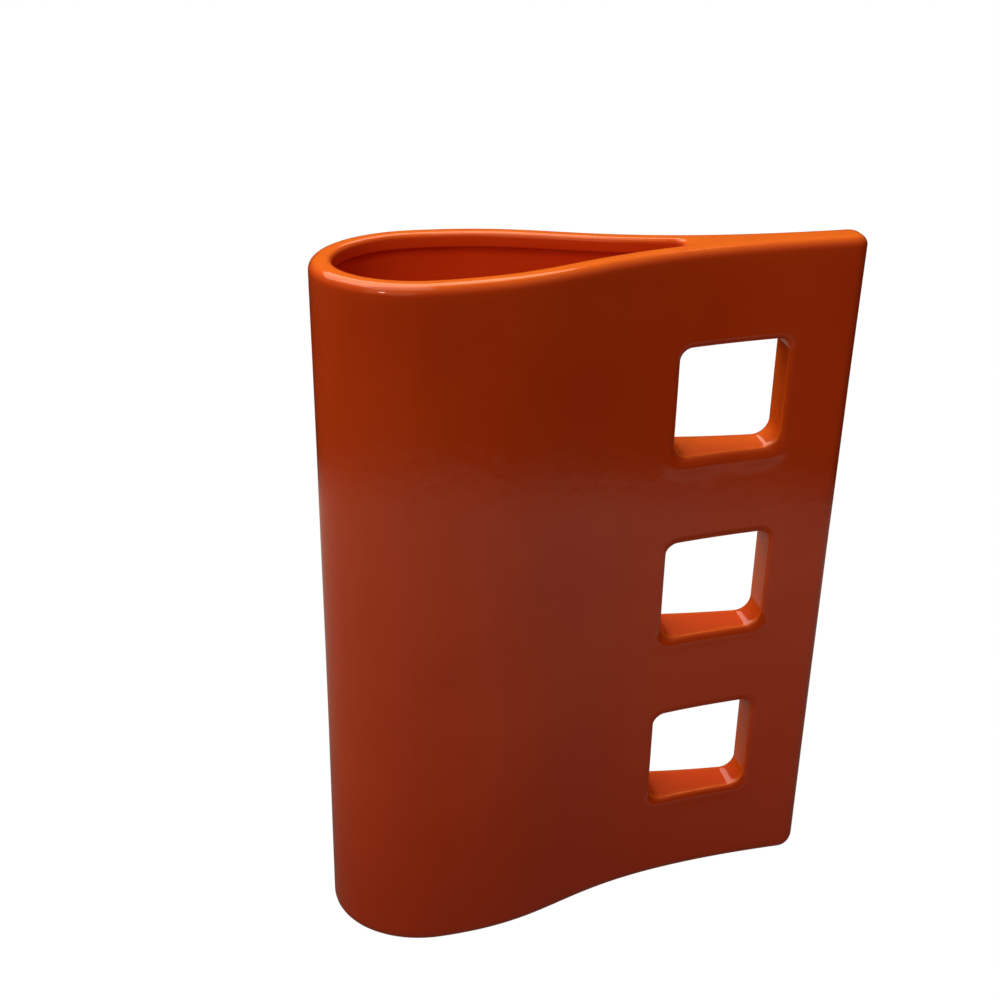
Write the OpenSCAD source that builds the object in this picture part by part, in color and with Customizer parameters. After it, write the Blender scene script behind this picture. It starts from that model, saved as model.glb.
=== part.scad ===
// Teardrop vase with a windowed fin, in glazed ceramic.
// The plan is a teardrop: a round nose, then two flanks that run together into a flat fin.
// Three windows go through the fin, and the mouth and the hollow inside follow the plan.
// The clay pieces are luted into one shell, and a coat of glaze covers all but the foot.
//
// Millimetres. +X runs from the nose to the fin's edge, +Z is up, and the origin is on the
// table, under the middle of the overall box.

/* [Overall size] */
// Height from the table to the top of the rim
height = 300; // [250:1:360]
// Length from the nose to the fin's edge
length = 216; // [180:1:260]
// Width at the belly
width = 70; // [58:1:84]

/* [Plan curve] */
// Distance from the nose to the widest place
nose_depth = 41.5; // [34:0.5:50]
// How far the flank stays wide behind the belly
belly_reach = 63; // [52:1:76]
// How far the flank stays level in front of the fin's edge
fin_reach = 116; // [96:1:140]
// Thickness of the fin at its edge
fin_t = 14.6; // [12:0.1:18]

/* [Rounded edges] */
// Rounding of the fin's two upright edges
fin_edge_r = 5.5; // [3:0.1:6.6]
// Rounding of the outer edge along the bottom
base_edge_r = 5.5; // [3:0.1:6.6]
// Rounding of the fin's lower corner, seen from the side
fin_toe_r = 8; // [6:0.5:10]
// Rounding of the outer edge along the top
lip_r = 4; // [2:0.1:4.9]

/* [Clay] */
// Thickness of the side walls
wall_t = 5.5; // [4.5:0.1:6.6]
// Thickness of the slab that closes the bottom
base_t = 8.5; // [7:0.1:10.5]
// Clay left solid at the fin's upright edge
fin_core = 9; // [7:0.5:12]

/* [Mouth] */
// Width of the rim's flat top, outer face to mouth
rim_w = 8.7; // [7.2:0.1:10.5]
// Thickness of the clay plate that makes the rim
rim_t = 5; // [4.1:0.1:6]
// Distance from the fin's edge to the mouth's narrow end
mouth_setback = 74; // [61:1:89]
// Rounding of the mouth's narrow end
mouth_end_r = 2.4; // [1:0.1:3]
// Rounding of the rim's edge into the mouth
mouth_edge_r = 2; // [1.2:0.1:2.6]

/* [Windows] */
// Clear width of each window
window_w = 46.5; // [38:0.5:56]
// Clear height of each window
window_h = 46.8; // [39:0.1:56]
// Rounding of the window corners
window_r = 5; // [4:0.5:8]
// Rounding of the edge between each window and the outer face
window_edge_r = 2.6; // [2:0.1:4.8]
// Distance from the fin's edge to the windows
window_setback = 29.2; // [24:0.1:35]
// Height of the lowest window's sill above the table
window_sill = 44; // [36:0.5:53]
// Clay between the highest window and the top of the rim
window_head = 39.2; // [32:0.1:47]
// Thickness of the sleeve that lines each window
sleeve_t = 4.5; // [3.7:0.1:5.4]

/* [Foot] */
// Height of the foot ring under the slab
foot_h = 1.2; // [1:0.1:2]
// Width of the foot ring
foot_w = 5; // [4:0.5:6]
// Distance from the outer face to the foot ring
foot_inset = 6; // [5:0.1:6.6]

/* [Glaze] */
// Thickness of the glaze
glaze_t = 0.5; // [0.4:0.05:0.6]
// Bare clay left between the slab's underside and the glaze
glaze_line = 0.8; // [0.6:0.1:1.2]

/* [Hidden] */

// Colours
GLAZE = [0.86, 0.27, 0.05];
BISQUE = [0.86, 0.76, 0.62];
BARE_FOOT = [0.80, 0.68, 0.52];

// Levels of the windows, lowest first
LOWER = 0;
MIDDLE = 1;
UPPER = 2;

// Smoothness of the curves: pieces in each stretch of the outline, and in each rounding
nose_steps = 14;
flank_steps = 24;
corner_steps = 5;
toe_steps = 6;
lip_steps = 4;
edge_steps = 4;
side_steps = 6;
search_steps = 80;

// Smallest corner and smallest half gap that a shrunken outline keeps
least_corner = 0.5;
least_half_gap = 0.4;
// A fillet stays this much smaller than the plate that it rounds
fillet_room = 0.3;
// A window's edge turns through this angle, then runs out through the face by this length
edge_sweep = 75;
edge_run_out = 1.2;
// How far a cutter runs past the face that it opens
over = 2;

// Places worked out from the sizes above
nose_x = -length / 2;
fin_x = length / 2;
belly_x = nose_x + nose_depth;
flank_end_x = fin_x - fin_edge_r;
toe_r = min(fin_toe_r, base_t - fillet_room);
top_r = min(lip_r, rim_t + glaze_t - fillet_room);
mouth_top_r = min(mouth_edge_r, rim_t - fillet_room);
reveal_r = min(window_edge_r, sleeve_t + glaze_t - fillet_room);
wall_bottom = foot_h + base_t;
wall_top = height - glaze_t - rim_t;
mouth_x = fin_x - mouth_setback;
window_x = fin_x - window_setback - window_w / 2;
// UPPER is also the number of gaps between the windows
window_pitch = (height - window_sill - window_head - window_h) / UPPER;
function window_z(level) = window_sill + window_h / 2 + level * window_pitch;

// ---- Plan curve, the half with Y above 0, from the nose to the fin ----

function unit(v) = v / norm(v);

// The nose is a quarter of an ellipse
function nose_point(a) = [belly_x - nose_depth * cos(a), width / 2 * sin(a)];
function nose_normal(a) = unit([-cos(a) / nose_depth, sin(a) / (width / 2)]);

// The flank is one cubic curve, level at the belly and level again at the fin
FLANK = [[belly_x, width / 2],
         [belly_x + belly_reach, width / 2],
         [flank_end_x - fin_reach, fin_t / 2],
         [flank_end_x, fin_t / 2]];
function flank_point(t) =
    pow(1 - t, 3) * FLANK[0] + 3 * pow(1 - t, 2) * t * FLANK[1]
    + 3 * (1 - t) * t * t * FLANK[2] + pow(t, 3) * FLANK[3];
function flank_slope(t) =
    pow(1 - t, 2) * (FLANK[1] - FLANK[0]) + 2 * (1 - t) * t * (FLANK[2] - FLANK[1])
    + t * t * (FLANK[3] - FLANK[2]);
function flank_normal(t) =
    let (along = unit(flank_slope(t)))
    [-along[1], along[0]];

// The same curves, moved inwards by d
function nose_inset(a, d) = nose_point(a) - d * nose_normal(a);
function flank_inset(t, d) = flank_point(t) - d * flank_normal(t);

// Where along the inset flank it reaches x, or comes within y of the middle
function flank_at_x(x, d) =
    lookup(x, [for (i = [0:search_steps]) [flank_inset(i / search_steps, d)[0], i / search_steps]]);
function flank_at_y(y, d) =
    lookup(-y, [for (i = [0:search_steps]) [-flank_inset(i / search_steps, d)[1], i / search_steps]]);

// Half outline at inset d. It stops at x_end with a corner of radius r, or sooner if the two
// sides come within half_gap of the middle. Every half outline has the same number of points.
function half_outline(d, x_end, r, half_gap = least_half_gap) =
    let (stop = min(flank_at_x(x_end - r, d), flank_at_y(half_gap, d)),
         last = flank_inset(stop, d),
         corner = min(r, last[1] - least_half_gap / 2))
    concat([for (i = [0:nose_steps - 1]) nose_inset(90 * i / nose_steps, d)],
           [for (i = [0:flank_steps]) flank_inset(stop * i / flank_steps, d)],
           [for (i = [1:corner_steps])
               let (a = 90 - 90 * i / corner_steps)
               last + corner * [cos(a), sin(a) - 1]]);

// Both halves, starting at the nose
function whole(half) =
    concat(half, [for (i = [len(half) - 1:-1:1]) [half[i][0], -half[i][1]]]);

// Outline of the outer face at inset d, with the fin's end moved in by end_d
function outer_half(d, end_d) =
    half_outline(d, fin_x - end_d, max(fin_edge_r - d, least_corner));
// Outline of the hollow, a further k inside the clay
function hollow_half(k) =
    half_outline(glaze_t + wall_t + k, fin_x - fin_core - k, least_corner, least_half_gap + k);
// Outline of the mouth, a further k inside the clay, opened out by flare
function mouth_half(k, flare = 0) =
    half_outline(rim_w - glaze_t + k - flare, mouth_x + glaze_t - k + flare, mouth_end_r + flare);

// ---- Rounded solids ----

// Inset of a quarter-round edge of radius r at a distance s from its face
function round_inset(s, r) = s >= r ? 0 : r - sqrt(r * r - pow(r - s, 2));

// An outline as a ring of points at level z
function ring(outline, z) = [for (p = outline) [p[0], p[1], z]];

// Rings of the rounded bottom edge, for a face that lies d inside the outer one
function bottom_rings(d) =
    [for (i = [0:toe_steps])
        let (rise = toe_r * (1 - cos(90 * i / toe_steps)),
             side = d + round_inset(rise, base_edge_r) * (base_edge_r - d) / base_edge_r,
             toe = d + round_inset(rise, toe_r) * (toe_r - d) / toe_r)
        ring(whole(outer_half(side, max(side, toe))), foot_h + rise)];

// Rings of the rounded top edge, for a face that lies d inside the outer one
function top_rings(d) =
    [for (i = [lip_steps:-1:0])
        let (r = top_r - d,
             drop = r * (1 - cos(90 * i / lip_steps)),
             side = d + round_inset(drop, r))
        ring(whole(outer_half(side, side)), height - d - drop)];

// One straight ring of the outer face at inset d, at level z
function straight_ring(d, z) = ring(whole(outer_half(d, d)), z);

// Solid through a stack of rings, which turn clockwise as the last one sees them
module loft(rings) {
    n = len(rings[0]);
    last = len(rings) - 1;
    polyhedron(
        points = [for (points = rings) each points],
        faces = concat(
            [[for (i = [n - 1:-1:0]) i]],
            [[for (i = [0:n - 1]) last * n + i]],
            [for (k = [0:last - 1], i = [0:n - 1])
                let (a = k * n + i, b = k * n + (i + 1) % n)
                each [[a, b, b + n], [a, b + n, a + n]]]));
}

module prism(outline, bottom, top) {
    translate([0, 0, bottom])
        linear_extrude(top - bottom)
            polygon(outline);
}

// Whole outer form, solid, for a face that lies d inside the outer one
module form(d) {
    loft(concat(bottom_rings(d), top_rings(d)));
}

// ---- Windows ----

// Outline of a window grown all round, with points along its level sides to follow the wall
function window_outline(grow) =
    let (w = window_w / 2 - window_r, h = window_h / 2 - window_r, r = window_r + grow)
    [for (quarter = [0:3])
        let (side = quarter == 0 || quarter == 3 ? 1 : -1, up = quarter < 2 ? 1 : -1)
        each concat(
            [for (i = [0:corner_steps])
                let (a = 90 * quarter + 90 * i / corner_steps)
                [side * w + r * cos(a), up * h + r * sin(a)]],
            [for (i = [1:side_steps - 1])
                if (side == up)
                    [side * w * (1 - 2 * i / side_steps), up * (h + r)]])];

// Straight block through the fin at a window, larger all round by grow
module window_block(level, grow) {
    translate([window_x, 0, window_z(level)])
        rotate([90, 0, 0])
            linear_extrude(width + 2 * over, center = true)
                polygon(window_outline(grow));
}

module window_blocks(grow) {
    for (level = [LOWER:UPPER])
        window_block(level, grow);
}

// Distance from the middle to the outer face at inset d, at x
function face_y(x, d) =
    let (half = outer_half(d, d))
    lookup(x, [for (i = [0:nose_steps + flank_steps]) half[i]]);

// Growth and depth of a window's rounded edge, from inside the window to just clear of the
// face. The last stretch is straight, so that it goes through the face and doesn't touch it.
function edge_profile(d) =
    let (r = reveal_r - d,
         curve = [for (i = [0:edge_steps])
                     let (a = edge_sweep * i / edge_steps)
                     [d + r * (1 - cos(a)), r * (1 - sin(a))]])
    concat(curve, [curve[edge_steps] + edge_run_out * [sin(edge_sweep), -cos(edge_sweep)]]);

// The opening of one window at inset d, with its edges rounded out to both faces
module window_opening(level, d) {
    profile = edge_profile(d);
    last = len(profile) - 1;
    rings = concat([for (i = [last:-1:0]) [-1, profile[i]]], [for (step = profile) [1, step]]);
    outer_ring = [for (p = window_outline(profile[last][0])) [p[0], width / 2 + over, p[1]]];
    translate([window_x, 0, window_z(level)])
        loft(concat(
            [[for (p = outer_ring) [p[0], -p[1], p[2]]]],
            [for (k = rings)
                [for (p = window_outline(k[1][0]))
                    [p[0], k[0] * (face_y(window_x + p[0], d) - k[1][1]), p[1]]]],
            [outer_ring]));
}

module window_openings(d) {
    for (level = [LOWER:UPPER])
        window_opening(level, d);
}

// ---- Hollow ----

// The mouth, a further k inside the clay, with its upper edge rounded out
module mouth_opening(k) {
    r = mouth_top_r - glaze_t + k;
    rim_top = height - glaze_t + k;
    loft(concat(
        [ring(whole(mouth_half(k)), wall_top - k - over)],
        [for (i = [0:edge_steps])
            let (a = 90 * i / edge_steps)
            ring(whole(mouth_half(k, r * (1 - cos(a)))), rim_top - r * (1 - sin(a)))],
        [ring(whole(mouth_half(k, r)), height + over)]));
}

// All that is open inside, a further k inside the clay
module hollow(k) {
    difference() {
        prism(whole(hollow_half(k)), wall_bottom + k, wall_top - k);
        window_blocks(glaze_t + sleeve_t + k);
    }
    mouth_opening(k);
}

// ---- Clay pieces ----

module foot_ring() {
    color(BARE_FOOT)
        difference() {
            prism(whole(half_outline(foot_inset, fin_x - toe_r - foot_inset, least_corner)), 0, foot_h);
            prism(whole(half_outline(foot_inset + foot_w, fin_x, least_corner)), -over, foot_h + over);
        }
}

module base_slab() {
    color(BISQUE)
        loft(concat(bottom_rings(glaze_t), [straight_ring(glaze_t, wall_bottom)]));
}

// One half of the side wall, from the seam down the nose to the seam down the fin's edge
module half_wall() {
    outside = outer_half(glaze_t, glaze_t);
    inside = hollow_half(0);
    profile = concat(outside,
                     [[outside[len(outside) - 1][0], 0], [inside[len(inside) - 1][0], 0]],
                     [for (i = [len(inside) - 1:-1:0]) inside[i]]);
    difference() {
        prism(profile, wall_bottom, wall_top);
        window_blocks(glaze_t + sleeve_t);
    }
}

module front_wall() {
    color(BISQUE)
        mirror([0, 1, 0])
            half_wall();
}

module back_wall() {
    color(BISQUE)
        half_wall();
}

// Square tube that lines a window, trimmed flush with both walls
module window_sleeve(level) {
    color(BISQUE)
        difference() {
            intersection() {
                prism(whole(outer_half(glaze_t, glaze_t)), wall_bottom, wall_top);
                window_block(level, glaze_t + sleeve_t);
            }
            window_opening(level, glaze_t);
        }
}

module mouth_rim() {
    color(BISQUE)
        difference() {
            loft(concat([straight_ring(glaze_t, wall_top)], top_rings(glaze_t)));
            mouth_opening(0);
        }
}

// ---- Glaze ----

// All the clay above the foot as one block, for the glaze to lie on
module clay_shell() {
    difference() {
        form(glaze_t);
        hollow(0);
        window_openings(glaze_t);
    }
}

module glaze_coat() {
    color(GLAZE)
        difference() {
            form(0);
            clay_shell();
            hollow(glaze_t);
            window_openings(0);
            translate([nose_x - over, -width / 2 - over, foot_h - over])
                cube([length + 2 * over, width + 2 * over, over + glaze_line]);
        }
}

foot_ring();
base_slab();
front_wall();
back_wall();
window_sleeve(LOWER);  // window_sleeve_lower
window_sleeve(MIDDLE);  // window_sleeve_middle
window_sleeve(UPPER);  // window_sleeve_upper
mouth_rim();
glaze_coat();
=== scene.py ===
"""Teardrop vase with a windowed fin, in glazed ceramic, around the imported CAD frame.

The glaze is one seamless skin: it starts at the glaze line above the foot, runs up the outside,
through the three windows, over the rim, down inside the mouth and closes on the chamber floor.
Metres throughout. +X runs from the nose to the fin's edge, +Z is up, the front faces -Y.
"""

import math

import bpy
from mathutils import Matrix, Vector, noise


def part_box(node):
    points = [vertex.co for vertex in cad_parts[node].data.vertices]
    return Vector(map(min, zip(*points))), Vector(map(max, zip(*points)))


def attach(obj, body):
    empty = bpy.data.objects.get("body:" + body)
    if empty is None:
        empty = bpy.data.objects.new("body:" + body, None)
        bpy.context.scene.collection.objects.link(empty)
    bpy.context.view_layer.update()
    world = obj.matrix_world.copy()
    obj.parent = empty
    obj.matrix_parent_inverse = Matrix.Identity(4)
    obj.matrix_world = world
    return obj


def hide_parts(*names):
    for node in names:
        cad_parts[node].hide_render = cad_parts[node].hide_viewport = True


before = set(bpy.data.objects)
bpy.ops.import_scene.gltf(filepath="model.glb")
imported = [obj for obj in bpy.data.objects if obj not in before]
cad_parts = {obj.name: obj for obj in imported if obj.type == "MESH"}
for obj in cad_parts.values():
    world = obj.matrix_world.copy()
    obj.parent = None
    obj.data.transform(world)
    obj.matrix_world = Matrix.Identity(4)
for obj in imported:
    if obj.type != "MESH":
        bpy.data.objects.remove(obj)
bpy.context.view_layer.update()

MM = 0.001

# ---- Sizes, from the frame where it holds them ----

glaze_low, glaze_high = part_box("glaze_coat")
slab_low, slab_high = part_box("base_slab")
rim_low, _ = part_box("mouth_rim")
SLEEVES = ["window_sleeve_lower", "window_sleeve_middle", "window_sleeve_upper"]
sleeve_boxes = [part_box(name) for name in SLEEVES]

GLAZE_T = 0.5 * MM
WALL_T = 5.5 * MM
SLEEVE_T = 4.5 * MM
NOSE_X = glaze_low.x
FIN_X = glaze_high.x
HALF_WIDTH = glaze_high.y
TOP_Z = glaze_high.z
GLAZE_LINE_Z = glaze_low.z
UNDERSIDE_Z = slab_low.z
SLAB_TOP_Z = slab_high.z
PLATE_Z = rim_low.z

# Plan curve
NOSE_DEPTH = 41.5 * MM
BELLY_REACH = 63 * MM
FIN_REACH = 116 * MM
FIN_HALF = 7.3 * MM
FIN_EDGE_R = 5.5 * MM
LEAST_CORNER = 0.5 * MM
# Least flat between an outline's last corner and the middle, so no two points fall together
LEAST_FLAT = 0.1 * MM
BELLY_X = NOSE_X + NOSE_DEPTH
FLANK_END_X = FIN_X - FIN_EDGE_R

# Roundings
BASE_EDGE_R = 5.5 * MM
TOE_R = 8 * MM
LIP_R = 4 * MM

# Mouth and chamber
RIM_W = 8.7 * MM
MOUTH_X = FIN_X - 74 * MM
MOUTH_END_R = 2.4 * MM
MOUTH_EDGE_R = 2 * MM
CHAMBER_INSET = GLAZE_T + WALL_T + GLAZE_T
CHAMBER_END_X = FIN_X - 13 * MM
CHAMBER_FLOOR_Z = SLAB_TOP_Z + GLAZE_T
CHAMBER_TOP_Z = PLATE_Z - GLAZE_T
# Rounding of the rim's lower edge, and of the chamber's floor
UNDER_R = 1 * MM
FLOOR_R = 4 * MM
# Where the slits along the chamber's ceiling and floor stop, short of its end
CHAMBER_SLIT_END_X = CHAMBER_END_X - 0.6 * MM

# Windows
WINDOW_R = 5 * MM
window_x = (sleeve_boxes[0][0].x + sleeve_boxes[0][1].x) / 2
window_half_w = (sleeve_boxes[0][1].x - sleeve_boxes[0][0].x) / 2 - SLEEVE_T - GLAZE_T
window_half_h = (sleeve_boxes[0][1].z - sleeve_boxes[0][0].z) / 2 - SLEEVE_T - GLAZE_T
window_zs = [(low.z + high.z) / 2 for low, high in sleeve_boxes]
BLOCK_MARGIN = 9.5 * MM

# Foot ring
FOOT_INSET = 6 * MM
FOOT_W = 5 * MM

# ---- Steps of the mesh ----

NOSE_STEPS = 24
FLANK_STEPS = 28
SIDE_STEPS = 12
ARC_STEPS = 4
BLOCK_STEPS = SIDE_STEPS + 2 * ARC_STEPS
TAIL_STEPS = 5
CORNER_STEPS = 8
MOUTH_END_STEPS = 6
ROUND_STEPS = 8
EDGE_STEPS = 9
SPREAD_STEPS = 6
SLEEVE_STEPS = 6
UNDER_STEPS = 5
ROW_STEP = 3.4 * MM


def mix(a, b, share):
    return a + (b - a) * share


def smooth(x):
    x = min(max(x, 0.0), 1.0)
    return x * x * (3 - 2 * x)


# ---- Plan curve ----


def nose_point(angle, d):
    """A point of the front half's nose, d inside the outer face; angle 0 is the tip."""
    across, along = math.sin(angle) / HALF_WIDTH, math.cos(angle) / NOSE_DEPTH
    size = math.hypot(across, along)
    return (BELLY_X - NOSE_DEPTH * math.cos(angle) + d * along / size,
            -HALF_WIDTH * math.sin(angle) + d * across / size)


FLANK = [(BELLY_X, HALF_WIDTH), (BELLY_X + BELLY_REACH, HALF_WIDTH),
         (FLANK_END_X - FIN_REACH, FIN_HALF), (FLANK_END_X, FIN_HALF)]


def flank_point(t, d):
    """A point of the front half's flank, d inside the outer face; t runs from belly to fin."""
    s = 1 - t
    x, y = (s ** 3 * a + 3 * s * s * t * b + 3 * s * t * t * c + t ** 3 * e
            for a, b, c, e in zip(*FLANK))
    dx, dy = (s * s * (b - a) + 2 * s * t * (c - b) + t * t * (e - c)
              for a, b, c, e in zip(*FLANK))
    size = math.hypot(dx, dy)
    return x + d * dy / size, -(y - d * dx / size)


def flank_t(x, d):
    """Where along the flank at inset d it reaches x."""
    low, high = 0.0, 1.0
    for _ in range(40):
        middle = (low + high) / 2
        if flank_point(middle, d)[0] < x:
            low = middle
        else:
            high = middle
    return (low + high) / 2


def face_y(x, d):
    """Distance from the middle to the face at inset d, at x on the flank."""
    return -flank_point(flank_t(x, d), d)[1]


def flank_stations():
    """Places along the flank: evenly to the windows, across them, and on to the fin."""
    left = window_x - window_half_w - BLOCK_MARGIN
    right = window_x + window_half_w + BLOCK_MARGIN
    t_left, t_right = flank_t(left, 0), flank_t(right, 0)
    before = [t_left * i / FLANK_STEPS for i in range(FLANK_STEPS)]
    across = [flank_t(mix(left, right, i / BLOCK_STEPS), 0) for i in range(BLOCK_STEPS)]
    after = [mix(t_right, 1, i / TAIL_STEPS) for i in range(TAIL_STEPS + 1)]
    return before + across + after


STATIONS = flank_stations()
FIRST_BLOCK = NOSE_STEPS + FLANK_STEPS
HALF_STEPS = NOSE_STEPS + len(STATIONS) - 1 + CORNER_STEPS + 1
MOUTH_FLANK = max(i for i, t in enumerate(STATIONS) if t < flank_t(MOUTH_X, RIM_W)) + 1
MOUTH_END = NOSE_STEPS + MOUTH_FLANK + MOUTH_END_STEPS


def half_outline(d, x_end, corner):
    """Front half of an outline at inset d that ends at x_end, from the nose to the middle."""
    stop = flank_t(x_end - corner, d)
    last_x, last_y = flank_point(stop, d)
    corner = min(corner, -last_y - LEAST_FLAT)
    points = [nose_point(math.pi / 2 * i / NOSE_STEPS, d) for i in range(NOSE_STEPS)]
    points += [flank_point(t * stop, d) for t in STATIONS]
    for i in range(1, CORNER_STEPS + 1):
        angle = math.pi / 2 * i / CORNER_STEPS
        points.append((last_x + corner * math.sin(angle),
                       last_y + corner * (1 - math.cos(angle))))
    points.append((last_x + corner, 0.0))
    return points


def half_keyhole(d, x_end, corner, slit_end):
    """Front half of an opening at inset d that ends at x_end, then a slit along the middle."""
    stop = flank_t(x_end - corner, d)
    last_x, last_y = flank_point(stop, d)
    corner = min(corner, -last_y - LEAST_FLAT)
    points = [nose_point(math.pi / 2 * i / NOSE_STEPS, d) for i in range(NOSE_STEPS)]
    share = stop / STATIONS[MOUTH_FLANK]
    points += [flank_point(t * share, d) for t in STATIONS[:MOUTH_FLANK + 1]]
    for i in range(1, MOUTH_END_STEPS):
        angle = math.pi / 2 * i / (MOUTH_END_STEPS - 1)
        points.append((last_x + corner * math.sin(angle),
                       last_y + corner * (1 - math.cos(angle))))
    points.append((last_x + corner, 0.0))
    rest = HALF_STEPS - MOUTH_END
    for i in range(1, rest + 1):
        points.append((mix(last_x + corner, slit_end, i / rest), 0.0))
    return points


# ---- Skins: rows of points joined by quads ----

# Twice the area, in square metres, under which a triangle counts as flat
FLAT_TRIANGLE = 1e-12


class Skin:
    """Vertices with how thin the glaze is there plus painted light, how pooled it is, and the
    quads between rows.
    """

    def __init__(self):
        self.points = []
        self.thin_and_painted_light = []
        self.pool = []
        self.faces = []

    def add(self, point, thin_and_painted_light=0.0, pool=0.0):
        self.points.append(Vector(point))
        self.thin_and_painted_light.append(thin_and_painted_light)
        self.pool.append(pool)
        return len(self.points) - 1

    def loop(self, half, z, thin_and_painted_light=0.0, pool=0.0):
        """A level row: the front half, and its mirror back to the nose."""
        front = [self.add((x, y, z), thin_and_painted_light, pool) for x, y in half]
        back = [self.add((x, -y, z), thin_and_painted_light, pool) for x, y in half[-2:0:-1]]
        return front + back

    def slit(self, row, half, z, thin_and_painted_light=0.0):
        """A row round an opening, carried on by a slit that both halves share."""
        last = len(row) // 2
        front = row[:last + 1] + [self.add((x, y, z), thin_and_painted_light) for x, y in half[last + 1:]]
        back = [front[i] if i > last else row[2 * last - i] for i in range(len(half) - 2, 0, -1)]
        return front + back

    def bridge(self, a, b, skip=()):
        """Quads between two closed rows; skip leaves out the steps that windows take."""
        n = len(a)
        for i in range(n):
            if i in skip:
                continue
            j = (i + 1) % n
            face = []
            for v in (a[i], a[j], b[j], b[i]):
                if v not in face:
                    face.append(v)
            if len(face) == 4:
                self.faces += self.cut(face)
            elif len(face) == 3:
                self.faces.append(face)

    def cut(self, quad):
        """A quad with three corners in line, cut so that neither triangle is flat."""
        a, b, c, d = quad
        if self.in_line(a, b, c) or self.in_line(a, c, d):
            return [[a, b, d], [b, c, d]]
        if self.in_line(a, b, d) or self.in_line(b, c, d):
            return [[a, b, c], [a, c, d]]
        return [quad]

    def in_line(self, a, b, c):
        """Whether three vertices lie on one line, so a triangle of them would have no area."""
        start, middle, end = (self.points[i] for i in (a, b, c))
        return (middle - start).cross(end - start).length < FLAT_TRIANGLE

    def stack(self, rows):
        for a, b in zip(rows, rows[1:]):
            self.bridge(a, b)


def middle_slit(start, end):
    """A row along the middle, for closing a floor."""
    return [(mix(start, end, i / HALF_STEPS), 0.0) for i in range(HALF_STEPS + 1)]


def blend_half(a, b, share):
    return [(mix(x, u, share), mix(y, v, share)) for (x, y), (u, v) in zip(a, b)]


# ---- Windows ----


def window_outline(grow, low_r=WINDOW_R):
    """Rounded rectangle round a window's middle, anticlockwise from the lower right's middle.

    low_r rounds the two lower corners. Each side has BLOCK_STEPS steps between the middles of
    its corners."""
    corners = []
    for side, up, start in ((1, -1, -45), (1, 1, 45), (-1, 1, 135), (-1, -1, 225)):
        r = low_r if up < 0 else WINDOW_R
        corners.append((side * (window_half_w - r), up * (window_half_h - r), r + grow, start))
    points = []
    for k in range(4):
        cx, cz, r, start = corners[k]
        nx, nz, next_r, _ = corners[(k + 1) % 4]
        half_turn = math.radians(start + 45)
        a = (cx + r * math.cos(half_turn), cz + r * math.sin(half_turn))
        b = (nx + next_r * math.cos(half_turn), nz + next_r * math.sin(half_turn))
        for i in range(ARC_STEPS):
            angle = math.radians(start + 45 * i / ARC_STEPS)
            points.append((cx + r * math.cos(angle), cz + r * math.sin(angle)))
        for i in range(SIDE_STEPS):
            points.append((mix(a[0], b[0], i / SIDE_STEPS), mix(a[1], b[1], i / SIDE_STEPS)))
        for i in range(ARC_STEPS):
            angle = math.radians(start + 45 + 45 * i / ARC_STEPS)
            points.append((nx + next_r * math.cos(angle), nz + next_r * math.sin(angle)))
    return points


def block_rim(grid, first_row, side):
    """The grid's points round a window, in the order of window_outline. side 1 is the back."""
    loop = 2 * HALF_STEPS
    left, right = FIRST_BLOCK, FIRST_BLOCK + BLOCK_STEPS
    column = (lambda i: (loop - i) % loop) if side > 0 else (lambda i: i)
    low, high = first_row, first_row + BLOCK_STEPS
    return ([grid[j][column(right)] for j in range(low, high)]
            + [grid[high][column(i)] for i in range(right, left, -1)]
            + [grid[j][column(left)] for j in range(high, low, -1)]
            + [grid[low][column(i)] for i in range(left, right)])


def window_steps():
    """Steps of a loop that the windows take up, on both sides."""
    loop = 2 * HALF_STEPS
    front = set(range(FIRST_BLOCK, FIRST_BLOCK + BLOCK_STEPS))
    return front | {loop - 1 - i for i in front}


WINDOW_STEPS = window_steps()


def window_normals():
    grown = window_outline(1 * MM)
    return [((gx - x) / MM, (gz - z) / MM) for (x, z), (gx, gz) in zip(OUTLINE, grown)]


OUTLINE = window_outline(0)
OUTWARD = window_normals()

# Softness of the window's edges, along the face and into the window. The sill's is wider,
# where the glaze has run down and gathered; lists go from the lowest window up
SIDE_SOFT = 2.9 * MM
SILL_SOFTS = [3.2 * MM, 3.2 * MM, 4.2 * MM]
DEPTH_SOFT = 2.1 * MM
SOFT_POWER = 2.4
# Height of the roll of glaze under each sill
ROLLS = [0.12 * MM, 0.18 * MM, 0.34 * MM]
ROLL_WIDTH = 2.6 * MM
# Rounding of the lower corners inside, where glaze has gathered
POOLED = window_outline(0, 7.5 * MM)
# Glaze that hangs from each head
HEADS = [0.8 * MM, 1.1 * MM, 0.2 * MM]
# How thin the glaze is on each sill and on the other sides inside a window, with painted light
# that lightens the reveals and the top window's sill
SILL_THIN_AND_PAINTED_LIGHT = [0.05, 0.05, 0.45]
SIDE_THIN_AND_PAINTED_LIGHT = 0.5


def softness(level, k):
    """How wide the rounded edge is at point k of a window's outline."""
    lift = (OUTLINE[k][1] + window_half_h) / window_half_h
    return mix(SILL_SOFTS[level], SIDE_SOFT, smooth(lift / 0.45))


def inside_thin_and_painted_light(level, k):
    """How thin the glaze is inside a window at point k of its outline, with the painted light on
    its reveals and sills.
    """
    return mix(SIDE_THIN_AND_PAINTED_LIGHT, SILL_THIN_AND_PAINTED_LIGHT[level], sill_share(k))


def sill_share(k):
    """1 along the sill, 0 at the sides and the head."""
    return smooth(-OUTWARD[k][1])


def corner_share(k):
    """1 in the middle of a lower corner, 0 along the straight sides."""
    nx, nz = OUTWARD[k]
    return smooth(2 * abs(nx * nz)) if nz < 0 else 0.0


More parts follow.
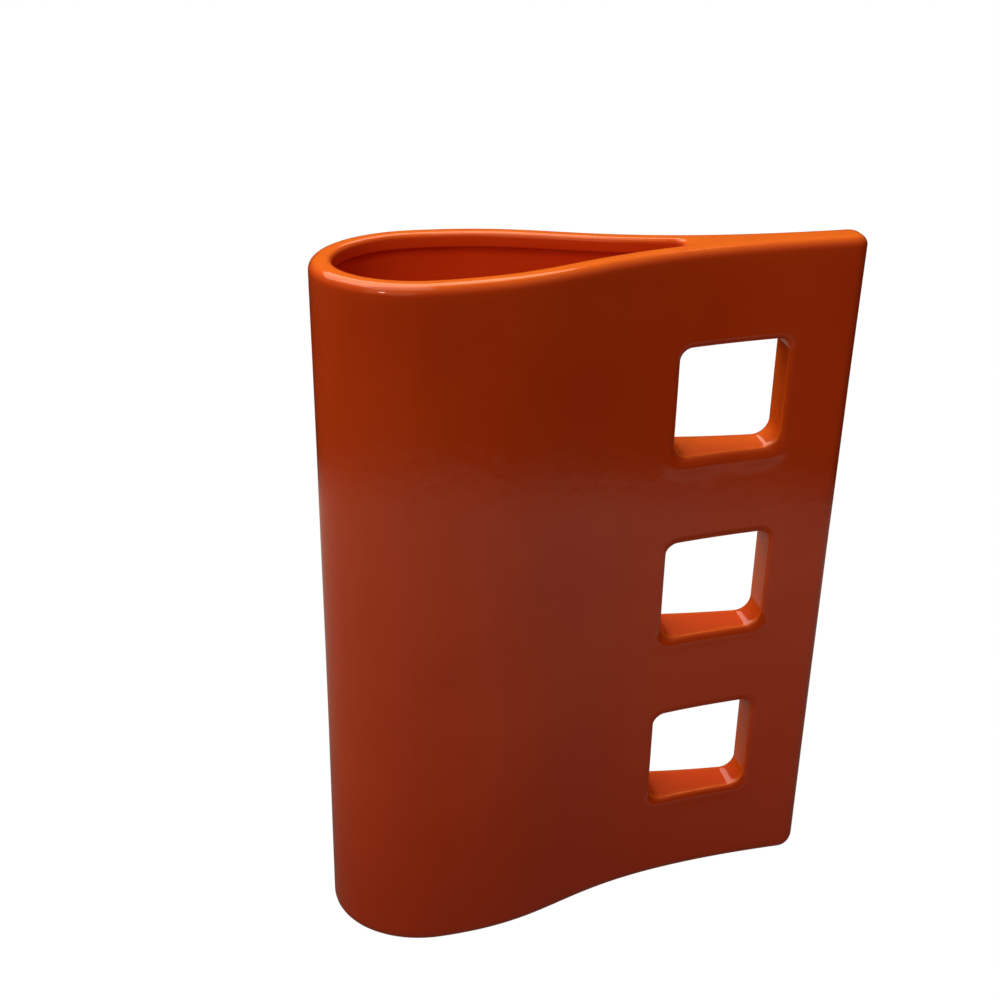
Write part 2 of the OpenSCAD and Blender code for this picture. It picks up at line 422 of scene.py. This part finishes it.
def window_ring(skin, level, side, share):
    """Ring on a window's rounded edge. share is 0 inside the window and 1 on the face."""
    angle = math.pi / 2 * share
    out = 1 - math.cos(angle) ** (2 / SOFT_POWER)
    down = 1 - math.sin(angle) ** (2 / SOFT_POWER)
    ring = []
    inside = 1 - smooth(share * 1.4)
    for k, pooled in enumerate(POOLED):
        x, z = (mix(a, b, inside) for a, b in zip(OUTLINE[k], pooled))
        soft = softness(level, k)
        grow = soft * out - HEADS[level] * smooth(OUTWARD[k][1]) * inside
        px = window_x + x + grow * OUTWARD[k][0]
        pz = window_zs[level] + z + grow * OUTWARD[k][1]
        y = face_y(px, 0) - DEPTH_SOFT * down + roll(level, side, k, soft * (out - 1), px)
        crease = math.exp(-((share - 0.16) / 0.13) ** 2)
        # Lighter on the crease where the glaze is thin, and painted light over the inside of the
        # window
        thin_and_painted_light = max(crease, inside_thin_and_painted_light(level, k) * (1 - smooth(share / 0.3)), 0.35 * (1 - share))
        ring.append(skin.add((px, side * y, pz), thin_and_painted_light, corner_share(k) * (1 - share)))
    return ring


def roll(level, side, k, beyond, x):
    """How far the glaze stands proud under a sill, at a distance beyond the rounded edge."""
    wave = 0.65 + 0.8 * noise.noise(Vector((x / (11 * MM), 5.3 * level, 3.1 * side)))
    spread = (beyond - 0.4 * MM) / ROLL_WIDTH
    return ROLLS[level] * max(wave, 0) * sill_share(k) * math.exp(-spread * spread)


def face_ring(skin, level, side, rim, share):
    """Ring on the face between a window's rounded edge, share 0, and the grid round it, 1."""
    ring = []
    for k, (x, z) in enumerate(OUTLINE):
        soft = softness(level, k)
        edge_x = window_x + x + soft * OUTWARD[k][0]
        edge_z = window_zs[level] + z + soft * OUTWARD[k][1]
        grid = skin.points[rim[k]]
        px, pz = mix(edge_x, grid.x, share), mix(edge_z, grid.z, share)
        beyond = math.hypot(px - edge_x, pz - edge_z)
        y = face_y(px, 0) + roll(level, side, k, beyond, px)
        ring.append(skin.add((px, side * y, pz)))
    return ring


def window_skin(skin, level, front_rim, back_rim):
    """The glaze from the front face round a window's edge, through it and out at the back."""
    spreads = [(i / SPREAD_STEPS) ** 1.6 for i in range(1, SPREAD_STEPS)]
    rounds = [i / EDGE_STEPS for i in range(EDGE_STEPS + 1)]
    rings = [front_rim]
    rings += [face_ring(skin, level, -1, front_rim, share) for share in reversed(spreads)]
    rings += [window_ring(skin, level, -1, share) for share in reversed(rounds)]
    front_end = rings[-1]
    back = [window_ring(skin, level, 1, share) for share in rounds]
    through = []
    for step in range(1, SLEEVE_STEPS):
        share = step / SLEEVE_STEPS
        ring = []
        for k, (a, b) in enumerate(zip(front_end, back[0])):
            place = skin.points[a].lerp(skin.points[b], share)
            # Painted light: lighter towards the back of the window, where light comes through
            thin_and_painted_light = inside_thin_and_painted_light(level, k) * mix(0.8, 1.5, share)
            ring.append(skin.add(place, min(thin_and_painted_light, 1), corner_share(k)))
        through.append(ring)
    rings += through + back
    rings += [face_ring(skin, level, 1, back_rim, share) for share in spreads]
    rings.append(back_rim)
    skin.stack(rings)


def chamber_window_skin(skin, level, front_rim, back_rim):
    """The glaze round a sleeve inside the chamber, from the front wall to the back wall."""
    grow = SLEEVE_T + 2 * GLAZE_T
    rings = [back_rim]
    shape = [(window_x + x + grow * nx, window_zs[level] + z + grow * nz)
             for (x, z), (nx, nz) in zip(OUTLINE, OUTWARD)]
    for side, rim in ((1, back_rim), (-1, front_rim)):
        on_wall = [side * face_y(x, CHAMBER_INSET) for x, z in shape]
        half_way = []
        for (x, z), index in zip(shape, rim):
            grid = skin.points[index]
            px, pz = (x + grid.x) / 2, (z + grid.z) / 2
            half_way.append(skin.add((px, side * face_y(px, CHAMBER_INSET), pz)))
        at_wall = [skin.add((x, y, z)) for (x, z), y in zip(shape, on_wall)]
        across = [skin.add((x, y * 0.3, z)) for (x, z), y in zip(shape, on_wall)]
        rings += [half_way, at_wall, across] if side > 0 else [across, at_wall, half_way]
    rings.append(front_rim)
    skin.stack(rings)


def wall_levels(bottom, top):
    """Levels of a wall's rows, and the row at which each window's block starts."""
    levels, starts = [bottom], []

    def climb(end, steps=None):
        start = levels[-1]
        steps = steps or max(1, round((end - start) / ROW_STEP))
        levels.extend(mix(start, end, i / steps) for i in range(1, steps + 1))

    for z in window_zs:
        climb(z - window_half_h - BLOCK_MARGIN)
        starts.append(len(levels) - 1)
        climb(z + window_half_h + BLOCK_MARGIN, BLOCK_STEPS)
    climb(top)
    return levels, starts


# ---- The coat of glaze ----


def round_inset(s, r):
    """Inset of a quarter-round edge of radius r at a distance s from its face."""
    return 0.0 if s >= r else r - math.sqrt(r * r - (r - s) ** 2)


def outer_half(d, end_d):
    return half_outline(d, FIN_X - end_d, max(FIN_EDGE_R - d, LEAST_CORNER))


def toe_half(z, d):
    """Outline of the rounded bottom edge at level z, for a face d inside the outer one."""
    rise = z - UNDERSIDE_Z
    side = d + round_inset(rise, BASE_EDGE_R) * (BASE_EDGE_R - d) / BASE_EDGE_R
    toe = d + round_inset(rise, TOE_R) * (TOE_R - d) / TOE_R
    return outer_half(side, max(side, toe))


def wall_skin(skin, levels, starts, rows, inside):
    """Joins the rows of a wall, leaving out its windows, and adds their skins.

    inside is True for the chamber's wall."""
    in_window = {start + i for start in starts for i in range(BLOCK_STEPS)}
    for j in range(len(levels) - 1):
        skip = WINDOW_STEPS if j in in_window else ()
        pair = (rows[j + 1], rows[j]) if inside else (rows[j], rows[j + 1])
        skin.bridge(*pair, skip)
    for level, start in enumerate(starts):
        front, back = (block_rim(rows, start, side) for side in (-1, 1))
        if inside:
            chamber_window_skin(skin, level, front, back)
        else:
            window_skin(skin, level, front, back)


def outside_rows(skin):
    """From the glaze line up to the flat of the rim."""
    line = UNDERSIDE_Z + TOE_R
    toe = []
    first = math.acos(1 - (GLAZE_LINE_Z - UNDERSIDE_Z) / TOE_R)
    for i in range(ROUND_STEPS):
        angle = mix(first, math.pi / 2, i / ROUND_STEPS)
        z = UNDERSIDE_Z + TOE_R * (1 - math.cos(angle))
        toe.append(skin.loop(toe_half(z, 0), z, 0.35 * smooth(1 - i / ROUND_STEPS)))
    levels, starts = wall_levels(line, TOP_Z - LIP_R)
    wall = [skin.loop(outer_half(0, 0), z) for z in levels]
    skin.stack(toe + wall[:1])
    wall_skin(skin, levels, starts, wall, False)
    lip = [wall[-1]]
    for i in range(1, ROUND_STEPS + 1):
        angle = math.pi / 2 * i / ROUND_STEPS
        d = LIP_R * (1 - math.cos(angle))
        z = TOP_Z - LIP_R * (1 - math.sin(angle))
        # Lighter towards the top: thin glaze over the rounding and painted light from above
        lip.append(skin.loop(outer_half(d, d), z, math.sin(angle) ** 2))
    skin.stack(lip)
    return toe[0], lip[-1]


def mouth_half(flare, slit_end):
    return half_keyhole(RIM_W - flare, MOUTH_X + flare, MOUTH_END_R + flare, slit_end)


def rim_rows(skin, outer):
    """The flat of the rim and fin, the mouth's edge, and the ceiling of the chamber."""
    slit_end = FIN_X - FIN_HALF
    flat = mouth_half(MOUTH_EDGE_R, slit_end)
    half_way = blend_half(outer_half(LIP_R, LIP_R), flat, 0.5)
    # Thin glaze over the rim, and painted light that lightens the top face
    top = skin.loop(flat[:MOUTH_END + 1], TOP_Z, 1.0)
    skin.stack([outer, skin.loop(half_way, TOP_Z, 1.0), skin.slit(top, flat, TOP_Z, 1.0)])
    mouth = [top]
    for i in range(1, ROUND_STEPS + 1):
        angle = math.pi / 2 * i / ROUND_STEPS
        flare = MOUTH_EDGE_R * (1 - math.sin(angle))
        z = TOP_Z - MOUTH_EDGE_R * (1 - math.cos(angle))
        half = mouth_half(flare, slit_end)
        # Thin glaze and painted light on the mouth's edge, fading down into the mouth
        mouth.append(skin.loop(half[:MOUTH_END + 1], z, 0.8 * math.cos(angle)))
    for i in range(UNDER_STEPS + 1):
        angle = math.pi / 2 * i / UNDER_STEPS
        flare = UNDER_R * (1 - math.cos(angle))
        z = CHAMBER_TOP_Z + UNDER_R * (1 - math.sin(angle))
        half = mouth_half(flare, CHAMBER_SLIT_END_X)
        mouth.append(skin.loop(half[:MOUTH_END + 1], z))
    skin.stack(mouth)
    return skin.slit(mouth[-1], half, CHAMBER_TOP_Z)


def chamber_rows(skin, ceiling):
    """The chamber's wall and floor."""
    outline = half_outline(CHAMBER_INSET, CHAMBER_END_X, LEAST_CORNER)
    floor = middle_slit(NOSE_X + HALF_WIDTH, CHAMBER_SLIT_END_X)
    levels, starts = wall_levels(CHAMBER_FLOOR_Z + FLOOR_R, CHAMBER_TOP_Z)
    wall = [skin.loop(outline, z) for z in levels]
    skin.bridge(ceiling, wall[-1])
    wall_skin(skin, levels, starts, wall, True)
    rows = [wall[0]]
    for i in range(1, UNDER_STEPS + 1):
        angle = math.pi / 2 * i / UNDER_STEPS
        share = FLOOR_R / HALF_WIDTH * (1 - math.cos(angle))
        z = CHAMBER_FLOOR_Z + FLOOR_R * (1 - math.sin(angle))
        rows.append(skin.loop(blend_half(outline, floor, share), z, 0, 0.5 * math.sin(angle)))
    for share in (0.4, 0.7):
        rows.append(skin.loop(blend_half(outline, floor, share), CHAMBER_FLOOR_Z, 0, 0.5))
    rows.append(skin.slit([skin.add((*floor[0], CHAMBER_FLOOR_Z))], floor, CHAMBER_FLOOR_Z))
    skin.stack(rows)


def warp(point):
    """How far the glazed face stands off its drawn place: slow waves, and a slight waist."""
    slow = noise.noise(point / (75 * MM)) * 0.11 * MM
    quick = noise.noise(point / (27 * MM) + Vector((7, 3, 1))) * 0.025 * MM
    waist = (0.1 - 0.45 * math.sin(math.pi * point.z / TOP_Z)) * MM * abs(point.x / FIN_X) ** 3
    return slow + quick + waist


# How far in from its outer face the coat's lower edge lies, as a share of its thickness
COAT_EDGE = 0.45


def closed_coat(skin, first_row, thickness):
    """Gives a skin its thickness: a second face inside it, joined along its first row."""
    mesh = bpy.data.meshes.new("drawn")
    mesh.from_pydata([tuple(p) for p in skin.points], [], skin.faces)
    normals = [n.vector.copy() for n in mesh.vertex_normals]
    count = len(skin.points)
    outer = [p + n * warp(p) for p, n in zip(skin.points, normals)]
    inner = [p - n * thickness for p, n in zip(skin.points, normals)]
    for i in first_row:
        outer[i] = skin.points[i] - normals[i] * thickness * COAT_EDGE
    faces = skin.faces + [[v + count for v in reversed(face)] for face in skin.faces]
    for i, a in enumerate(first_row):
        b = first_row[(i + 1) % len(first_row)]
        faces.append([a, a + count, b + count, b])
    bpy.data.meshes.remove(mesh)
    return outer + inner, faces, skin.thin_and_painted_light * 2, skin.pool * 2


def piece(name, points, faces, material, layers=None):
    """A mesh object of the vase, smooth all over, riding on the frame."""
    mesh = bpy.data.meshes.new(name)
    mesh.from_pydata([tuple(p) for p in points], [], faces)
    mesh.polygons.foreach_set("use_smooth", [True] * len(mesh.polygons))
    for label, values in (layers or {}).items():
        mesh.attributes.new(label, "FLOAT", "POINT").data.foreach_set("value", values)
    mesh.materials.append(material)
    mesh.update()
    made = bpy.data.objects.new(name, mesh)
    bpy.context.scene.collection.objects.link(made)
    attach(made, "root")
    return made


def glaze_piece(material):
    skin = Skin()
    first_row, lip = outside_rows(skin)
    ceiling = rim_rows(skin, lip)
    chamber_rows(skin, ceiling)
    points, faces, thin_and_painted_light, pool = closed_coat(skin, first_row, GLAZE_T)
    made = piece("glaze", points, faces, material, {"thin_and_painted_light": thin_and_painted_light, "pool": pool})
    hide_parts("glaze_coat")
    return made


# ---- Bare clay that shows: the slab's underside and the foot ring ----

HOLLOW_UNDER = 0.4 * MM
FOOT_R = 0.45 * MM
FOOT_END_X = FIN_X - TOE_R - FOOT_INSET
LEAST_HALF_GAP = 0.4 * MM


def sponged(point):
    """Small unevenness of clay that was wiped with a sponge."""
    return noise.noise(point / (6 * MM)) * 0.05 * MM + noise.noise(point / (19 * MM)) * 0.06 * MM


def slab_piece(material):
    skin = Skin()
    edge = toe_half(UNDERSIDE_Z, GLAZE_T)
    middle = middle_slit(NOSE_X + HALF_WIDTH, FIN_X - TOE_R - FIN_HALF)
    rows = [skin.slit([skin.add((*middle[0], UNDERSIDE_Z))], middle, UNDERSIDE_Z)]
    rows += [skin.loop(blend_half(middle, edge, i / 10), UNDERSIDE_Z) for i in range(1, 11)]
    under = len(skin.points)
    for i in range(1, ROUND_STEPS + 1):
        z = UNDERSIDE_Z + TOE_R * (1 - math.cos(math.pi / 2 * i / ROUND_STEPS))
        rows.append(skin.loop(toe_half(z, GLAZE_T), z))
    top = outer_half(GLAZE_T, GLAZE_T)
    rows.append(skin.loop(top, SLAB_TOP_Z))
    rows.append(skin.loop(blend_half(top, middle, 0.5), SLAB_TOP_Z))
    rows.append(skin.slit([skin.add((*middle[0], SLAB_TOP_Z))], middle, SLAB_TOP_Z))
    skin.stack(rows)
    inside = set(rows[0] + [i for row in rows[1:10] for i in row])
    for i, point in enumerate(skin.points[:under]):
        if i in inside:
            depth = smooth((HALF_WIDTH - abs(point.y)) / HALF_WIDTH)
            point.z += HOLLOW_UNDER * depth * 0.5 + abs(sponged(point))
    made = piece("slab_clay", skin.points, skin.faces, material)
    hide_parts("base_slab")
    return made


def gap_x(d, half_gap):
    """Where the two faces at inset d come within half_gap of the middle."""
    low, high = 0.0, 1.0
    for _ in range(40):
        t = (low + high) / 2
        if -flank_point(t, d)[1] > half_gap:
            low = t
        else:
            high = t
    return flank_point(low, d)[0]


def foot_piece(material):
    skin = Skin()
    inner_d = FOOT_INSET + FOOT_W
    inner_end = gap_x(inner_d, LEAST_HALF_GAP) + LEAST_CORNER
    slit_end = FOOT_END_X - 2 * MM

    def outer(inset, z):
        return skin.loop(half_outline(FOOT_INSET + inset, FOOT_END_X - inset, LEAST_CORNER), z)

    def inner(inset):
        return half_keyhole(inner_d - inset, inner_end + inset, LEAST_CORNER, slit_end)

    rounding = [math.pi / 2 * i / 4 for i in range(5)]
    opening = [skin.loop(inner(0)[:MOUTH_END + 1], UNDERSIDE_Z)]
    opening += [skin.loop(inner(FOOT_R * (1 - math.cos(a)))[:MOUTH_END + 1],
                          FOOT_R * (1 - math.sin(a))) for a in rounding]
    top = skin.slit(opening[0], inner(0), UNDERSIDE_Z)
    bottom = skin.slit(opening[-1], inner(FOOT_R), 0)
    outside = [outer(FOOT_R * (1 - math.cos(a)), FOOT_R * (1 - math.sin(a)))
               for a in reversed(rounding)]
    outside.append(outer(0, UNDERSIDE_Z))
    skin.stack(opening)
    skin.stack([bottom] + outside + [top])
    made = piece("foot_clay", skin.points, skin.faces, material)
    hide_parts("foot_ring")
    return made


# ---- Materials ----


class Nodes:
    """The node tree of a material or of the room, with short calls for the nodes used here."""

    def __init__(self, owner, place):
        owner.use_nodes = True
        self.tree = owner.node_tree
        self.place = self.tree.nodes.new("ShaderNodeTexCoord").outputs[place]

    def link(self, source, target):
        self.tree.links.new(source, target)

    def noise(self, size, detail=2.0, roughness=0.5):
        """Noise whose features are about size metres across."""
        node = self.tree.nodes.new("ShaderNodeTexNoise")
        node.inputs["Scale"].default_value = 1 / size
        node.inputs["Detail"].default_value = detail
        node.inputs["Roughness"].default_value = roughness
        self.link(self.place, node.inputs["Vector"])
        return node.outputs["Fac"]

    def layer(self, name):
        node = self.tree.nodes.new("ShaderNodeAttribute")
        node.attribute_name = name
        return node.outputs["Fac"]

    def spread(self, value, low, high, to_low=0.0, to_high=1.0):
        """The value between low and high stretched to new limits, and held there outside them."""
        node = self.tree.nodes.new("ShaderNodeMapRange")
        for name, number in (("From Min", low), ("From Max", high),
                             ("To Min", to_low), ("To Max", to_high)):
            node.inputs[name].default_value = number
        self.link(value, node.inputs["Value"])
        return node.outputs["Result"]

    def math(self, kind, a, b):
        node = self.tree.nodes.new("ShaderNodeMath")
        node.operation = kind
        for socket, value in zip(node.inputs, (a, b)):
            if isinstance(value, float):
                socket.default_value = value
            else:
                self.link(value, socket)
        return node.outputs["Value"]

    def mix(self, share, a, b):
        """Colour a where share is 0 and b where it is 1; each is a colour or a socket."""
        node = self.tree.nodes.new("ShaderNodeMix")
        node.data_type = "RGBA"
        self.link(share, node.inputs["Factor"])
        for socket, value in ((node.inputs[6], a), (node.inputs[7], b)):
            if isinstance(value, tuple):
                socket.default_value = (*value, 1)
            else:
                self.link(value, socket)
        return node.outputs[2]

    def bump(self, height, distance, strength=1.0, under=None):
        node = self.tree.nodes.new("ShaderNodeBump")
        node.inputs["Strength"].default_value = strength
        node.inputs["Distance"].default_value = distance
        self.link(height, node.inputs["Height"])
        if under is not None:
            self.link(under, node.inputs["Normal"])
        return node.outputs["Normal"]

    def axes(self):
        node = self.tree.nodes.new("ShaderNodeSeparateXYZ")
        self.link(self.place, node.inputs["Vector"])
        return node.outputs["X"], node.outputs["Y"], node.outputs["Z"]


GLAZE_DEEP = (0.72, 0.080, 0.013)
GLAZE_BODY = (0.78, 0.098, 0.016)
# Lighter, yellower colour for thin glaze and for painted light
GLAZE_THIN_AND_PAINTED_LIGHT = (0.91, 0.20, 0.010)
# Deeper colour for pooled glaze and for the painted shade towards the foot
GLAZE_POOLED_AND_SHADED = (0.62, 0.062, 0.010)
# Height up to which painted shade darkens the glaze towards the foot
FOOT_SHADE_Z = 90 * MM


def glaze_material():
    """Glossy orange-red glaze: yellower where it is thin on edges and where painted light
    lightens tops, reveals and sills; deeper where it has gathered, and painted shade darkens it
    towards the foot.
    """
    material = bpy.data.materials.new("glaze")
    n = Nodes(material, "Object")
    shader = n.tree.nodes["Principled BSDF"]
    clouds = n.spread(n.noise(60 * MM, 3.0), 0.35, 0.65)
    body = n.mix(clouds, GLAZE_DEEP, GLAZE_BODY)
    pool = n.spread(n.layer("pool"), 0.15, 1.0, 0.0, 0.8)
    body = n.mix(pool, body, GLAZE_POOLED_AND_SHADED)
    uneven = n.spread(n.noise(9 * MM, 2.0), 0.3, 0.7, 0.75, 1.0)
    # Painted shade: darker towards the foot, standing in for the shade near the floor
    foot = n.spread(n.axes()[2], 0.0, FOOT_SHADE_Z, 1.0, 0.0)
    body = n.mix(foot, body, GLAZE_POOLED_AND_SHADED)
    # Lighter where the glaze is thin on edges, and painted light on tops, reveals and sills
    thin_and_painted_light = n.math("MULTIPLY", n.spread(n.layer("thin_and_painted_light"), 0.1, 1.0), uneven)
    body = n.mix(thin_and_painted_light, body, GLAZE_THIN_AND_PAINTED_LIGHT)
    n.link(body, shader.inputs["Base Color"])
    streaks = n.noise(22 * MM, 2.0)
    n.link(n.spread(streaks, 0.3, 0.7, 0.05, 0.085), shader.inputs["Roughness"])
    shader.inputs["IOR"].default_value = 1.52
    peel = n.bump(n.noise(5.5 * MM, 1.0), 0.030 * MM)
    grain = n.bump(n.noise(0.8 * MM, 1.0), 0.0012 * MM, 1.0, peel)
    n.link(grain, shader.inputs["Normal"])
    return material


def clay_material(name, pale, dark, rubbed=None):
    """Fired clay without glaze: matte, slightly mottled, with fine grit."""
    material = bpy.data.materials.new(name)
    n = Nodes(material, "Object")
    shader = n.tree.nodes["Principled BSDF"]
    mottle = n.spread(n.noise(14 * MM, 4.0, 0.6), 0.3, 0.7)
    body = n.mix(mottle, pale, dark)
    grit = n.spread(n.noise(0.9 * MM, 2.0), 0.62, 0.72, 0.0, 0.55)
    body = n.mix(grit, body, tuple(c * 0.55 for c in dark))
    if rubbed:
        low = n.spread(n.axes()[2], 0.05 * MM, 0.35 * MM, 1.0, 0.0)
        patches = n.spread(n.noise(7 * MM, 3.0), 0.35, 0.65, 0.3, 1.0)
        body = n.mix(n.math("MULTIPLY", low, patches), body, rubbed)
    n.link(body, shader.inputs["Base Color"])
    n.link(n.spread(n.noise(4 * MM), 0.3, 0.7, 0.78, 0.92), shader.inputs["Roughness"])
    pits = n.bump(n.noise(1.6 * MM, 3.0, 0.7), 0.12 * MM)
    n.link(pits, shader.inputs["Normal"])
    return material


# ---- The vase ----

glaze = glaze_material()
bisque = clay_material("bisque", (0.80, 0.68, 0.53), (0.70, 0.57, 0.42))
bare_foot = clay_material("bare_foot", (0.74, 0.61, 0.45), (0.62, 0.49, 0.34), (0.36, 0.31, 0.26))

glaze_piece(glaze)
slab_piece(bisque)
foot_piece(bare_foot)
for name in ["front_wall", "back_wall", "mouth_rim"] + SLEEVES:
    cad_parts[name].data.materials.clear()
    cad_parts[name].data.materials.append(bisque)


# ---- Floor, light and camera ----

AIM = Vector((0, 0, TOP_Z / 2))


def area_light(name, place, aim, size, power, colour):
    data = bpy.data.lights.new(name, "AREA")
    data.shape = "RECTANGLE"
    data.size, data.size_y = size
    data.energy = power
    data.color = colour
    lamp = bpy.data.objects.new(name, data)
    lamp.location = place
    lamp.rotation_euler = (Vector(aim) - Vector(place)).to_track_quat("-Z", "Y").to_euler()
    bpy.context.scene.collection.objects.link(lamp)
    return lamp


def pale_floor():
    """A plain white plane. It glows evenly, and neither lights, shades nor shows in the vase."""
    mesh = bpy.data.meshes.new("floor")
    reach = 6.0
    mesh.from_pydata([(-reach, -reach, 0), (reach, -reach, 0), (reach, reach, 0),
                      (-reach, reach, 0)], [], [(0, 1, 2, 3)])
    material = bpy.data.materials.new("floor")
    material.use_nodes = True
    shader = material.node_tree.nodes["Principled BSDF"]
    shader.inputs["Base Color"].default_value = (0.02, 0.02, 0.02, 1)
    shader.inputs["Roughness"].default_value = 1.0
    shader.inputs["Specular IOR Level"].default_value = 0.0
    shader.inputs["Emission Color"].default_value = (1, 1, 1, 1)
    shader.inputs["Emission Strength"].default_value = 1.0
    mesh.materials.append(material)
    made = bpy.data.objects.new("floor", mesh)
    made.visible_diffuse = False
    made.visible_glossy = False
    made.visible_shadow = False
    bpy.context.scene.collection.objects.link(made)


SKY = (0.30, 0.175, 0.090)
TABLE = (0.37, 0.280, 0.225)
DARK_ROOM = (0.020, 0.010, 0.005)


def room_light():
    """A plain studio: a lit table below, a dim room round it, and soft light from above.

    It changes only with height. Whatever the camera itself sees past the floor is white."""
    world = bpy.data.worlds.new("room")
    bpy.context.scene.world = world
    n = Nodes(world, "Generated")
    z = n.axes()[2]
    near = n.spread(z, -0.64, -0.47, 0.28, 1.0)
    table = n.math("MULTIPLY", n.spread(z, -0.458, -0.430, 1.0, 0.0), near)
    colour = n.mix(table, DARK_ROOM, TABLE)
    colour = n.mix(n.spread(z, 0.05, 0.70), colour, SKY)
    room = n.tree.nodes["Background"]
    n.link(colour, room.inputs["Color"])
    seen = n.tree.nodes.new("ShaderNodeBackground")
    seen.inputs["Color"].default_value = (1, 1, 1, 1)
    path = n.tree.nodes.new("ShaderNodeLightPath")
    choose = n.tree.nodes.new("ShaderNodeMixShader")
    n.link(path.outputs["Is Camera Ray"], choose.inputs["Fac"])
    n.link(room.outputs["Background"], choose.inputs[1])
    n.link(seen.outputs["Background"], choose.inputs[2])
    n.link(choose.outputs["Shader"], n.tree.nodes["World Output"].inputs["Surface"])


def camera():
    """The photograph's view: from in front and to the left, looking down."""
    data = bpy.data.cameras.new("camera")
    data.lens = 54.63
    data.sensor_width = 36
    made = bpy.data.objects.new("camera", data)
    made.location = (-0.1563, -0.5269, 0.4743)
    made.rotation_mode = "XYZ"
    pitch, heading, roll = math.radians(90 - 27.178), math.radians(-12.908), math.radians(0.995)
    turn = (Matrix.Rotation(heading, 3, "Z") @ Matrix.Rotation(pitch, 3, "X")
            @ Matrix.Rotation(roll, 3, "Z"))
    made.rotation_euler = turn.to_euler()
    bpy.context.scene.collection.objects.link(made)
    bpy.context.scene.camera = made


pale_floor()
room_light()
camera()
area_light("key", (-0.30, 0.65, 1.35), AIM, (1.8, 1.1), 16, (1.0, 0.84, 0.66))
area_light("overhead", (-0.40, 0.0, 1.6), AIM, (1.3, 1.1), 6.5, (1.0, 0.86, 0.70))
area_light("fill", (-1.1, -1.5, 1.2), AIM, (1.6, 1.2), 5.5, (1.0, 0.58, 0.30))
area_light("lamp", (-1.15, -1.22, 1.25), AIM, (0.16, 0.16), 2.2, (1.0, 0.75, 0.55))
bpy.context.scene.view_settings.view_transform = "Standard"
